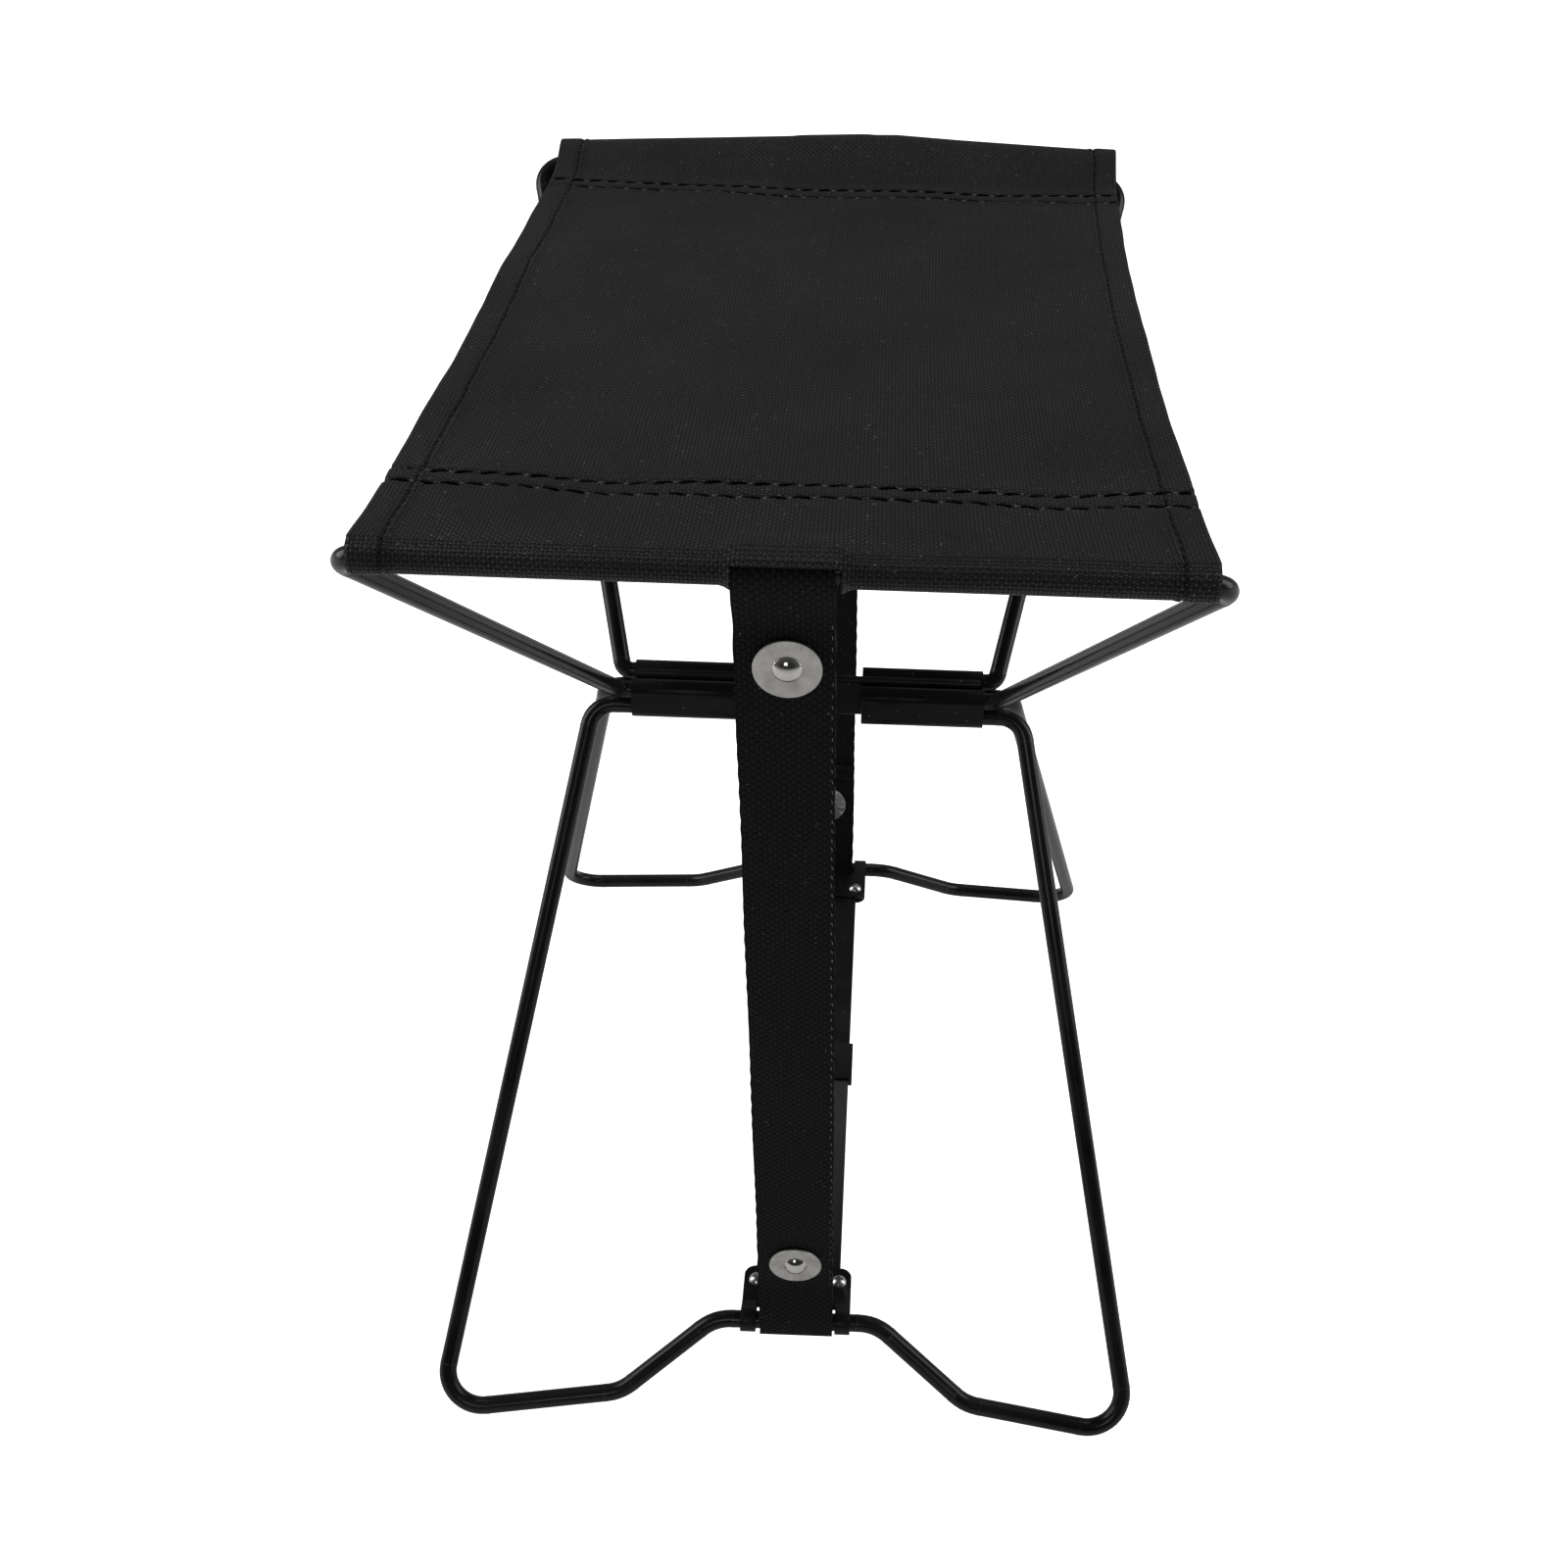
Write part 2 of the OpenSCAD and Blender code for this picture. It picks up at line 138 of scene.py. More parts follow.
def coated(name, colour, rough, grain, shine, dust=0.0):
    """Satin black powder coat: fine orange peel, faint cloudy wear, and painted highlights along sharp
    edges.
    """
    s = Shader(name)
    p = s.place()
    cloud = s.noise(p, 45, 5)
    peel = s.noise(p, 1400, 2)
    speck = s.span(s.noise(p, 520, 1), 0.74, 0.78, 0.0, 1.0)
    lighter = tuple(c * 1.7 + 0.004 for c in colour)
    tone = s.mix(s.span(cloud, 0.35, 0.7, 0.0, 1.0), colour, lighter)
    edge = s.node("ShaderNodeNewGeometry").outputs["Pointiness"]
    # painted highlight: sharp edges, found by their pointiness, are lightened
    tone = s.mix(s.math("MULTIPLY", s.span(edge, 0.54, 0.62, 0.0, 1.0), 0.5), tone, EDGE_HIGHLIGHT)
    tone = s.mix(s.math("MULTIPLY", speck, dust), tone, DUST)
    s.link(tone, s.bsdf.inputs["Base Color"])
    s.link(s.span(cloud, 0.3, 0.7, rough * 0.85, rough * 1.2), s.bsdf.inputs["Roughness"])
    s.set(IOR=1.5, Specular_IOR_Level=shine)
    height = s.math("ADD", peel, s.math("MULTIPLY", cloud, 0.6))
    s.link(s.bump(height, grain), s.bsdf.inputs["Normal"])
    return s.mat


def plated(name, colour, rough, stain):
    """Nickel or zinc plate with faint turning marks and blotchy stains."""
    s = Shader(name)
    p = s.place()
    blotch = s.noise(p, 210, 4, 0.6)
    marks = s.noise(p, 2600, 2)
    dull = tuple(c * (1 - stain) for c in (colour[0], colour[1] * 0.985, colour[2] * 0.95))
    s.link(s.mix(s.span(blotch, 0.42, 0.68, 0.0, 1.0), colour, dull), s.bsdf.inputs["Base Color"])
    s.link(s.span(blotch, 0.3, 0.7, rough * 0.8, rough * 1.4), s.bsdf.inputs["Roughness"])
    s.set(Metallic=1.0)
    s.link(s.bump(marks, 0.01 * MM, 0.6), s.bsdf.inputs["Normal"])
    return s.mat


# the hollows between threads are painted in shade, and the weft's colour carries painted sheen over the
# warp's
WARP, WEFT_WITH_SHEEN, GAP_SHADE = (0.005, 0.005, 0.006), (0.012, 0.012, 0.013), (0.0012, 0.0012, 0.0014)
# the first colour is a painted glint on the crowns of the weft
CROWN_GLINT, FADED, CLOTH_LINT = (0.15, 0.15, 0.158), (0.022, 0.022, 0.025), (0.22, 0.22, 0.23)


def woven(name, pitch=1.03 * MM):
    """Black oxford cloth in plain weave: a warp and a weft thread take turns on top."""
    s = Shader(name)
    u, v = s.uv()
    p = s.place()
    wobble = s.math("MULTIPLY", s.math("SUBTRACT", s.noise(p, 60, 2), 0.5), 0.5)
    fx = s.math("ADD", s.math("MULTIPLY", u, math.pi / pitch), wobble)
    fy = s.math("ADD", s.math("MULTIPLY", v, math.pi / (pitch * 0.97)), wobble)
    cx, cy = s.math("COSINE", fx), s.math("COSINE", fy)
    both = s.math("MULTIPLY", s.math("MULTIPLY", cx, cy), 0.5)
    warp = s.math("ADD", s.math("MULTIPLY", s.math("ABSOLUTE", cx), 0.5), both)
    weft = s.math("SUBTRACT", s.math("MULTIPLY", s.math("ABSOLUTE", cy), 0.5), both)
    height = s.math("MAXIMUM", warp, weft)
    top = s.math("GREATER_THAN", warp, weft)
    # painted shade in the hollows between threads, and painted sheen on the weft
    tone = s.mix(s.span(height, 0.50, 0.98, 0.0, 1.0), GAP_SHADE, s.mix(top, WEFT_WITH_SHEEN, WARP))
    # painted glints: the crowns of the weft are lightened in some places
    glint_patches = s.span(s.noise(p, 33, 3), 0.36, 0.66, 0.25, 1.0)
    crown_glint = s.math("MULTIPLY", s.span(weft, 0.74, 0.97, 0.0, 1.0), glint_patches)
    tone = s.mix(crown_glint, tone, CROWN_GLINT)
    tone = s.mix(s.span(s.noise(p, 28, 4), 0.45, 0.75, 0.0, 0.2), tone, FADED)
    lint = s.span(s.noise(p, 900, 0), 0.80, 0.83, 0.0, 0.55)
    tone = s.mix(lint, tone, CLOTH_LINT)
    s.link(tone, s.bsdf.inputs["Base Color"])
    s.link(s.span(top, 0.0, 1.0, 0.66, 0.38), s.bsdf.inputs["Roughness"])
    s.set(Sheen_Weight=0.02, Sheen_Roughness=0.4, IOR=1.45, Specular_IOR_Level=0.36)
    fibres = s.math("MULTIPLY", s.noise(p, 5200, 1), 0.25)
    s.link(s.bump(s.math("ADD", height, fibres), 0.42 * MM), s.bsdf.inputs["Normal"])
    return s.mat


# the valleys between the ribs are painted in shade
VALLEY_SHADE, RIB, WEBBING_LINT = (0.0008, 0.0008, 0.0009), (0.0095, 0.0095, 0.0100), (0.2, 0.2, 0.2)


def webbing(name, across=1.32 * MM, down=2.2 * MM):
    """Black ribbed webbing: short bricks of warp, each row half a brick on."""
    s = Shader(name)
    u, v = s.uv()
    p = s.place()
    col = s.math("DIVIDE", u, across)
    odd = s.math("MODULO", s.math("ABSOLUTE", s.math("FLOOR", col)), 2.0)
    shift = s.math("MULTIPLY", odd, 0.5)
    rib = s.math("ABSOLUTE", s.math("SINE", s.math("MULTIPLY", col, math.pi)))
    row = s.math("ADD", s.math("DIVIDE", v, down), shift)
    brick = s.math("ABSOLUTE", s.math("SINE", s.math("MULTIPLY", row, math.pi)))
    height = s.math("MULTIPLY", s.math("POWER", rib, 0.6), s.math("POWER", brick, 0.5))
    yarn = s.noise(p, 3000, 2)
    # painted shade in the valleys between the ribs
    tone = s.mix(s.span(height, 0.2, 0.9, 0.0, 1.0), VALLEY_SHADE, RIB)
    tone = s.mix(s.span(s.noise(p, 1100, 0), 0.81, 0.84, 0.0, 0.4), tone, WEBBING_LINT)
    s.link(tone, s.bsdf.inputs["Base Color"])
    s.link(s.span(yarn, 0.3, 0.7, 0.55, 0.75), s.bsdf.inputs["Roughness"])
    s.set(Sheen_Weight=0.03, Sheen_Roughness=0.5, IOR=1.45, Specular_IOR_Level=0.14)
    fibres = s.math("MULTIPLY", yarn, 0.3)
    s.link(s.bump(s.math("ADD", height, fibres), 0.35 * MM), s.bsdf.inputs["Normal"])
    return s.mat


def thread(name, colour, shine):
    """Twisted sewing thread."""
    s = Shader(name)
    twist = s.node("ShaderNodeTexWave")
    s.link(s.place(), twist.inputs["Vector"])
    twist.inputs["Scale"].default_value = 900
    wave = twist.outputs["Fac"]
    s.link(s.mix(wave, tuple(c * 0.5 for c in colour), colour), s.bsdf.inputs["Base Color"])
    s.set(Roughness=0.5, IOR=1.45, Specular_IOR_Level=shine)
    s.link(s.bump(wave, 0.08 * MM), s.bsdf.inputs["Normal"])
    return s.mat


WIRE = coated("powder_coat_wire", (0.0085, 0.0085, 0.0095), 0.20, 0.02 * MM, 0.27)
HINGE = coated("powder_coat_hinge", (0.0040, 0.0040, 0.0045), 0.24, 0.03 * MM, 0.13, 0.4)
SHEET = coated("powder_coat_sheet", (0.0060, 0.0060, 0.0065), 0.34, 0.04 * MM, 0.20, 0.3)
NICKEL = plated("nickel", (0.56, 0.55, 0.53), 0.28, 0.22)
RIVET = plated("nickel_dome", (0.72, 0.70, 0.68), 0.10, 0.10)
ZINC = plated("zinc", (0.68, 0.68, 0.69), 0.24, 0.14)
CLOTH = woven("oxford_cloth")
STRAP = webbing("strap_webbing")
BLACK_THREAD = thread("black_thread", (0.0012, 0.0012, 0.0014), 0.06)
HEM_THREAD = thread("hem_thread", (0.007, 0.007, 0.008), 0.15)
# pale thread laid on as painted glints, between the seam's stitches and along the straps' edges
GLINT_THREAD = thread("glint_thread", (0.36, 0.36, 0.37), 0.4)


FINISHES = (
    (("loop",), WIRE),
    (("hinge", "sleeve"), HINGE),
    (("washers",), NICKEL),
    (("rivet", "stud"), RIVET),
    (("screws", "nuts"), ZINC),
    (("strap",), STRAP),
    (("seat",), CLOTH),
)
SHEET_EDGE, SMALL_EDGE = 0.22, 0.12  # widths of the broken edges, in mm


def node_material(name):
    """The finish of a CAD node: the first whose word is in the node's name."""
    for words, finish in FINISHES:
        if any(word in name for word in words):
            return finish
    return SHEET


for name, obj in nodes.items():
    obj.data.materials.clear()
    obj.data.materials.append(node_material(name))
    if "loop" in name:
        continue  # the bent wires are round already
    weld = obj.modifiers.new("weld", "WELD")
    weld.merge_threshold = 1e-6
    bevel = obj.modifiers.new("edge", "BEVEL")
    bevel.width = (SMALL_EDGE if "rivet" in name or "screws" in name else SHEET_EDGE) * MM
    bevel.segments = 2
    bevel.limit_method = "ANGLE"
    bevel.angle_limit = math.radians(38)
    bevel.harden_normals = False


# ---- Mesh helpers -----------------------------------------------------------


def smoothstep(x, a, b):
    """0 at a, 1 at b and smooth between them."""
    t = np.clip((np.asarray(x, float) - a) / (b - a), 0, 1)
    return t * t * (3 - 2 * t)


def grid_mesh(name, points, uv, material, keep=None):
    """A mesh over an (n, m, 3) grid of points in mm, with a UV map in metres. keep drops some faces."""
    n, m = points.shape[:2]
    index = np.arange(n * m).reshape(n, m)
    quads = np.stack([index[:-1, :-1], index[1:, :-1], index[1:, 1:], index[:-1, 1:]], -1)
    quads = quads.reshape(-1, 4) if keep is None else quads[keep]
    used = np.unique(quads)
    back = np.full(n * m, -1)
    back[used] = np.arange(len(used))
    mesh = bpy.data.meshes.new(name)
    mesh.from_pydata((points.reshape(-1, 3)[used] * MM).tolist(), [], back[quads].tolist())
    layer = mesh.uv_layers.new(name="cloth")
    at = uv.reshape(-1, 2)[quads.reshape(-1)]
    layer.data.foreach_set("uv", (at * MM).astype(np.float32).ravel())
    mesh.polygons.foreach_set("use_smooth", [True] * len(mesh.polygons))
    mesh.update()
    # open edges are sharp, so that the thickness has a crisp rim
    faces_at = np.bincount([loop.edge_index for loop in mesh.loops], minlength=len(mesh.edges))
    sharp = mesh.attributes.new("sharp_edge", "BOOLEAN", "EDGE")
    sharp.data.foreach_set("value", (faces_at == 1).tolist())
    mesh.materials.append(material)
    return add(name, mesh)


def thicken(obj, thickness):
    """Give a sheet its thickness in mm, half of it to each side."""
    solid = obj.modifiers.new("thickness", "SOLIDIFY")
    solid.thickness = thickness * MM
    solid.offset = 0.0


# a stitch: places along it, and its rise and width there as shares of the thread's radius
STITCH_AT = np.array([0.0, 0.12, 0.5, 0.88, 1.0])
STITCH_RISE = np.array([-0.45, 0.35, 0.6, 0.35, -0.45])
STITCH_WIDE = np.array([0.35, 0.95, 1.0, 0.95, 0.35])
THREAD_SIDES = 6


def stitches(name, runs, material, radius):
    """Thread in short stitches that stand up in the middle.

    Each run is a (point, point, up) in mm.
    """
    verts, faces = [], []
    sides, last = THREAD_SIDES, len(STITCH_AT) - 1
    ring = np.linspace(0, 2 * math.pi, sides, endpoint=False)
    for run in runs:
        a, b, up = (np.asarray(x, float) for x in run)
        way = (b - a) / max(np.linalg.norm(b - a), 1e-9)
        side = np.cross(way, up)
        side /= max(np.linalg.norm(side), 1e-9)
        top = np.cross(side, way)
        base = len(verts)
        for t, rise, wide in zip(STITCH_AT, STITCH_RISE, STITCH_WIDE):
            c = a + (b - a) * t + top * rise * radius
            for r in ring:
                verts.append((c + (side * math.cos(r) + top * math.sin(r)) * radius * wide) * MM)
        for k in range(last):
            low, high = base + k * sides, base + (k + 1) * sides
            for j in range(sides):
                q = (j + 1) % sides
                faces.append((low + j, low + q, high + q, high + j))
        faces.append(tuple(base + j for j in range(sides))[::-1])
        faces.append(tuple(base + last * sides + j for j in range(sides)))
    mesh = bpy.data.meshes.new(name)
    mesh.from_pydata([tuple(v) for v in verts], [], faces)
    mesh.polygons.foreach_set("use_smooth", [True] * len(mesh.polygons))
    mesh.materials.append(material)
    return add(name, mesh)


# ---- Seat cloth -------------------------------------------------------------
# The cloth lies over both top bars, wraps round them and is sewn to itself below.

BAR_Y, BAR_Z, WIRE_R = 151.5, 341.0, 3.0
HALF_W, CURVE = 102.6, 2.8  # half width at the bars, and how much less it is in the middle
SEAM = (31.0, 37.7)  # the two rows of stitches, measured in from the bar
HEM = 9.5  # width of the folded side hems
HEM_LINE = 7.9  # the side hem's stitches, measured in from the edge
STITCH = 6.3  # pitch of the seam's stitches
CLOTH_T = 0.9  # thickness
WRAP_R = WIRE_R + 0.15 + CLOTH_T / 2  # from a bar's axis to the middle of the cloth on it
SAG = 1.5  # in the middle of the seat
FAR_SHIFT = 2.4  # how far to the right the cloth sits on the far bar
STRAP_X = 0.8  # middle of the opening for the strap
CUT = 12.9  # half width of that opening
STRAP_BULGE = 1.75  # how far a strap's loop lifts the cloth over the bar
BULGE_HALF, BULGE_SOFT = 11.5, 4.5  # half width of that place, and of its slope
SOFT_WAVES = ((0.30, 91, 133, 0.4), (0.22, -57, 83, 1.9), (0.12, 38, -49, 3.1))
# how far the slack sleeve stands above its bar, at places along X
PUFF = {
    1: ([-100, -73, -43, -15, 10, 24, 48, 85, 104],
        [4.2, 5.6, 7.0, 8.4, 9.6, 10.0, 8.8, 7.4, 6.8]),
    -1: ([-104, -60, -25, 0.8, 27, 60, 104], [0.6, 0.5, 0.4, 0.3, 0.6, 1.2, 0.9]),
}

# places across the cloth: close together at the hem, with the folded-under hem beyond each edge
FROM_EDGE = np.concatenate([
    [0.0, 0.35, 0.8, 1.6, 3.0, 5.0, 6.6, 7.4, 7.9, 8.3, 8.8, 9.5, 10.3, 11.2, 13],
    np.linspace(13, HALF_W, 66)[1:]])
FOLDED = np.array([0.45, 1.1, 3.0, 6.0, HEM])
ACROSS = np.concatenate([-(HALF_W + FOLDED[::-1]), -(HALF_W - FROM_EDGE),
                         (HALF_W - FROM_EDGE)[::-1][1:], HALF_W + FOLDED])
UNDER_HEM = np.abs(ACROSS) > HALF_W
ON_TOP = np.where(UNDER_HEM, np.sign(ACROSS) * (2 * HALF_W - np.abs(ACROSS)), ACROSS)
FROM_SIDE = HALF_W - np.abs(ON_TOP)

# rows from the middle of the seat to the bar, round it in degrees, and back below to past the seam
FINE_FROM = BAR_Y - SEAM[1] - 6
FLAT_Y = np.concatenate([np.linspace(0, FINE_FROM, 44, endpoint=False),
                         np.linspace(FINE_FROM, BAR_Y, 41)])
ROWS = [("flat", y) for y in FLAT_Y]
ROWS += [("arc", a) for a in np.linspace(0, 180, 23)[1:]]
ROWS += [("under", y) for y in np.linspace(BAR_Y, BAR_Y - SEAM[1] - 5, 19)[1:]]


def half_width(y):
    """Half width of the cloth at y; its sides curve in a little between the bars."""
    return HALF_W - CURVE * (1 - (np.asarray(y, float) / BAR_Y) ** 2)


def spread(u, y, side):
    """X on the stool of a place u across the cloth. The far end sits a little to the right on its bar."""
    far = smoothstep(y, 20, BAR_Y) if side > 0 else 0.0
    return u / HALF_W * half_width(y) * (1 - 0.007 * far) + FAR_SHIFT * far


def waves(x, y):
    """A sum of soft waves; each part is (height, wavelength x, wavelength y, phase)."""
    total = 0.0
    for h, lx, ly, ph in SOFT_WAVES:
        total = total + h * np.sin(2 * math.pi * (x / lx + y / ly) + ph)
    return total


def sag(x, y):
    """Height lost in the middle of the stretched cloth."""
    return -SAG * (1 - (y / BAR_Y) ** 2) * (1 - (x / HALF_W) ** 2)


def seam_line(k, x):
    """How far in from the bar seam row k runs at x. Hand sewing wanders a little."""
    return SEAM[k] + 0.5 * np.sin(x / 17 + k) + 0.25 * np.sin(x / 6.1)


def strap_bulge(x, side):
    """1 over the near strap's loop and 0 away from it; the slack far sleeve shows it less."""
    off = np.abs(np.asarray(x, float) - STRAP_X)
    return (1 - smoothstep(off, BULGE_HALF, BULGE_HALF + BULGE_SOFT)) * (1.0 if side < 0 else 0.15)


def flat_row(x, y, side):
    """Heights of the cloth's top at y: its sag and soft waves, the slack sleeve and the seam."""
    into = BAR_Y - y
    lift = STRAP_BULGE * strap_bulge(x, side) * (1 - smoothstep(into, 2, 13))
    sleeve = smoothstep(into, SEAM[0] - 4, 2) * (0.85 + 0.15 * np.cos(into / 9))
    z = BAR_Z + WRAP_R + lift + np.interp(x, *PUFF[side]) * sleeve
    z = z + sag(x, y) + waves(x, y * side) * smoothstep(into, 0, 15)
    for k in range(len(SEAM)):
        off = into - seam_line(k, x)
        z = z - 0.80 * np.exp(-(off / 0.9) ** 2)
        z = z + 0.22 * np.sin(x / STITCH * 2 * math.pi + k) * np.exp(-(off / 3.0) ** 2)
    # two layers of cloth, from the bar to just past the seam
    double = smoothstep(into, SEAM[1] + 3.5, SEAM[1] + 1.8)
    return z + 0.55 * double * (1 - smoothstep(into, 0, 20) * 0.5)


def arc_row(x, angle, side):
    """Y and Z of the cloth round the bar. The slack far sleeve stands off it."""
    puff = np.interp(x, *PUFF[side])
    r = WRAP_R + STRAP_BULGE * strap_bulge(x, side)
    swell = 1.0 + 0.5 * puff * math.sin(angle) / 6.2 if side > 0 else 1.0
    droop = puff * 0.9 * (0.5 + 0.5 * math.cos(angle))
    return BAR_Y + r * math.sin(angle) * swell, BAR_Z + r * math.cos(angle) + droop


def under_row(x, y, side):
    """Heights of the layer below, which closes up to the top layer at the seam."""
    close = smoothstep(BAR_Y - y, 0, SEAM[0] - 3)
    low = BAR_Z - (WRAP_R + STRAP_BULGE * strap_bulge(x, side)) + 0.2
    high = BAR_Z + WRAP_R - CLOTH_T * 1.25 + sag(x, y)
    return low + (high - low) * close + 0.35 * np.sin(x / 14.0) * (1 - close)


def side_hems(run):
    """How far the cloth stands out at distance run along it: thicker hems with a stitched line."""
    off = FROM_SIDE - (HEM_LINE + 0.25 * np.sin(run / 8.0) + 0.2 * np.sin(run / 3.3))
    thick = 0.50 * (1 - smoothstep(FROM_SIDE, HEM - 0.6, HEM + 0.6))
    groove = 0.60 * np.exp(-(off / 0.6) ** 2)
    pucker = 0.10 * math.sin(run / 4.4 * 2 * math.pi) * np.exp(-(off / 2.4) ** 2)
    folded = -1.05 * smoothstep(np.abs(ACROSS) - HALF_W, 0.0, 1.0)
    return np.where(UNDER_HEM, folded, thick - groove + pucker)


def edge_wander(run):
    """How far the finished edge lies out from its straight line at distance run along the cloth."""
    rounded = np.where(FROM_SIDE < 0.9, (0.9 - FROM_SIDE) * 0.12, 0.0)
    wander = 0.10 * math.sin(run / 11.0) + 0.05 * math.sin(run / 3.9)
    return np.where(FROM_SIDE < 3, wander, 0) - rounded


def seat_half(side):
    """Half of the seat cloth, from the middle to the bar at side * BAR_Y, round it and back to the seam.

    Returns the object and its grid of points.
    """
    n, m = len(ROWS), len(ACROSS)
    pts, uv = np.zeros((n, m, 3)), np.zeros((n, m, 2))
    run = 0.0
    for i, (kind, where) in enumerate(ROWS):
        y = BAR_Y if kind == "arc" else where
        x = spread(ON_TOP, y, side)
        if kind == "flat":
            z, facing = flat_row(x, y, side), (0.0, 1.0)
        elif kind == "arc":
            angle = math.radians(where)
            y, z = arc_row(x, angle, side)
            facing = (math.sin(angle), math.cos(angle))
        else:
            z, facing = under_row(x, y, side), (0.0, -1.0)
        out = side_hems(run)
        pts[i, :, 0] = x + np.sign(x) * edge_wander(run)
        pts[i, :, 1] = (y + facing[0] * out) * side
        pts[i, :, 2] = z + facing[1] * out
        if i:
            run += float(np.linalg.norm(pts[i, m // 4, 1:] - pts[i - 1, m // 4, 1:]))
        uv[i, :, 0], uv[i, :, 1] = ACROSS, run * side
    # open the sleeve where the strap passes
    opens_at = 62 if side < 0 else 50
    past = np.array([(kind == "arc" and where > opens_at) or (kind == "under" and where > BAR_Y - 12)
                     for kind, where in ROWS[1:]])
    middle_x = (pts[:-1, :-1, 0] + pts[1:, 1:, 0]) / 2
    hem_face = UNDER_HEM[:-1] | UNDER_HEM[1:]
    keep = ~((np.abs(middle_x - STRAP_X) < CUT) & past[:, None] & ~hem_face[None, :])
    if side > 0:
        pts, uv, keep = pts[:, ::-1], uv[:, ::-1], keep[:, ::-1]
    obj = grid_mesh(f"{NAMES[side]}_seat_cloth", pts, uv, CLOTH, keep)
    thicken(obj, CLOTH_T)
    return obj, pts


halves = {side: seat_half(side) for side in (-1, 1)}


def top_z(side, x, y):
    """Height of the cloth's outer face at x and distance y from the middle."""
    pts = halves[side][1]
    i = int(np.clip(np.searchsorted(FLAT_Y, y) - 1, 0, len(FLAT_Y) - 2))
    t = float(np.clip((y - FLAT_Y[i]) / (FLAT_Y[i + 1] - FLAT_Y[i]), 0, 1))
    top = slice(len(FOLDED), -len(FOLDED))
    line = pts[i, top] * (1 - t) + pts[i + 1, top] * t
    order = np.argsort(line[:, 0])
    return float(np.interp(x, line[order, 0], line[order, 2])) + CLOTH_T * 0.55


def on_seam(k, x, side):
    """A point of seam row k, just above the cloth."""
    y = BAR_Y - seam_line(k, x)
    return np.array([x, y * side, top_z(side, x, y) + 0.05])


def on_hem(edge, y, side):
    """A point of the side hem's stitches at the left (-1) or right (1) edge, sunk in the cloth."""
    x = float(spread(edge * (HALF_W - HEM_LINE - 0.1 * math.sin(y / 3.3)), y, side))
    return np.array([x, y * side, top_z(side, x, y) - 0.04])


HEM_STITCH, HEM_PITCH = 3.1, 4.3  # length and pitch of the side hems' stitches


def seat_stitches(side):
    """The seam's dark stitches, pale thread between them as painted glints, and the side hems' stitches."""
    runs, pale, hems = [], [], []
    up = (0, 0, 1)
    shift = 2.2 if side > 0 else 0.0  # the far seam is shifted with its cloth
    for k, row in enumerate(SEAM):
        edge = half_width(BAR_Y - row) - 0.8
        last = shift + edge
        x = shift - edge + 0.6 + 2.1 * k
        while x < last - 2.5:
            long = STITCH * (0.72 + 0.06 * rng.random())
            a, b = on_seam(k, x, side), on_seam(k, min(x + long, last), side)
            b[1] += 0.18 * rng.normal()
            runs.append((a, b, up))
            # pale thread between the stitches: painted glints
            c = on_seam(k, min(x + long + 0.25, last), side)
            d = on_seam(k, min(x + STITCH - 0.3, last), side)
            d[1] += 0.35 * rng.normal()
            if rng.random() < 0.75:
                pale.append((c, d, up))
            x += STITCH
    for edge in (-1, 1):
        y = 1.0
        while y < BAR_Y - 1.5:
            end = min(y + HEM_STITCH, BAR_Y - 0.6)
            hems.append((on_hem(edge, y, side), on_hem(edge, end, side), up))
            y += HEM_PITCH
    name = NAMES[side]
    return (stitches(f"{name}_seat_stitches", runs, BLACK_THREAD, 0.40),
            stitches(f"{name}_seat_stitch_glints", pale, GLINT_THREAD, 0.17),
            stitches(f"{name}_hem_stitches", hems, HEM_THREAD, 0.24))


for side, name in NAMES.items():
    obj = halves[side][0]
    threads = seat_stitches(side)
    for o in (obj, *threads):
        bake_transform(o)
    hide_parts(f"{name}_seat_hem", "seat_panel")


# ---- Straps -----------------------------------------------------------------

NOTCH = 30.4  # height of the raised middle of a foot bar
STRAP_W, STRAP_T = 25.0, 1.35
STRAP_TOP_X, STRAP_BOTTOM_X = 0.0, 3.4
UPPER_RIVET, LOWER_RIVET, FOLD = 27.5, 36.0, 151.0  # from the top bar, from the foot bar, from the top bar
BACK_END = 20.0  # webbing past each rivet on the back
WASHER_R = 8.75
LAYER = 0.78  # from the strap's middle to the middle of one of its two layers
LOOP_R = WIRE_R + 0.35 + STRAP_T / 2 + 0.1  # from a bar's axis to the middle of the webbing round it
BOW, CUP = 0.7, 0.3  # how far a free layer bows back, and its edges curl
hinge_axis = np.array([6.1, 205.15])  # of a leg, as (y, z)
foot = np.array([145.5, 3.0])
slope = (foot - hinge_axis)[0] / (hinge_axis[1] - foot[1])
rest_y = float(hinge_axis[0] + slope * (hinge_axis[1] - NOTCH))


def layer(from_bar, rivet):
    """Offset of a layer's middle from the strap's: LOOP_R at the bar and flat before the washer."""
    meet = rivet - WASHER_R - 1.5
    return LAYER + (LOOP_R - LAYER) * (1 - smoothstep(from_bar, 0.5, meet))


